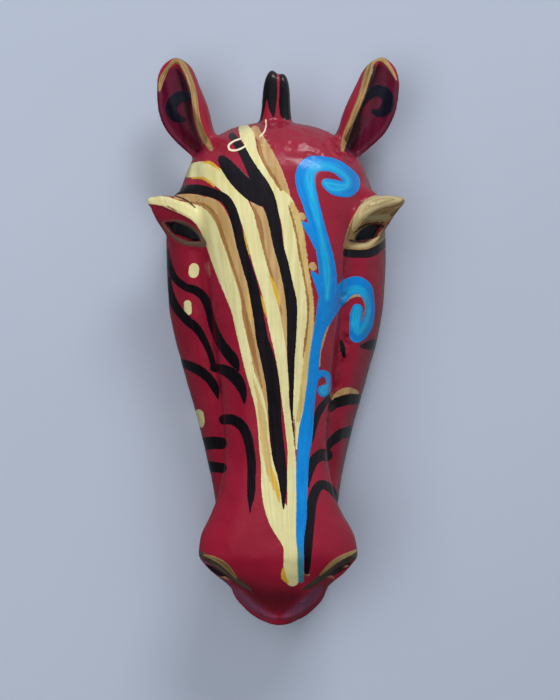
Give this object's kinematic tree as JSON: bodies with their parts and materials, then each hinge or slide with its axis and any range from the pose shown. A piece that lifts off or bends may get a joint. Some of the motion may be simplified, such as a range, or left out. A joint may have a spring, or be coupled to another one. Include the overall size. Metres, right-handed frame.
{
  "type": "horse head mask",
  "caption": "Hollow wall mask of a horse's head, seen from the front, with upright cupped ears, hooded eye holes, a stub of mane and flared nostrils. One moulded shell, open at the back.",
  "frame": {"origin": "under the middle of the mask's box, in the plane of its back rim", "axes": "+Z out of the face, +Y from the chin to the ears, +X to the right of someone who looks at the face"},
  "size_m": [0.2262, 0.506, 0.1249],
  "materials": {
    "painted_shell": "hand-painted gloss over a moulded shell: crimson ground with cream, ochre, black and blue ornament and gold edges"
  },
  "bodies": {
    "root": {"mask_shell": "painted_shell"}
  },
  "joints": []
}
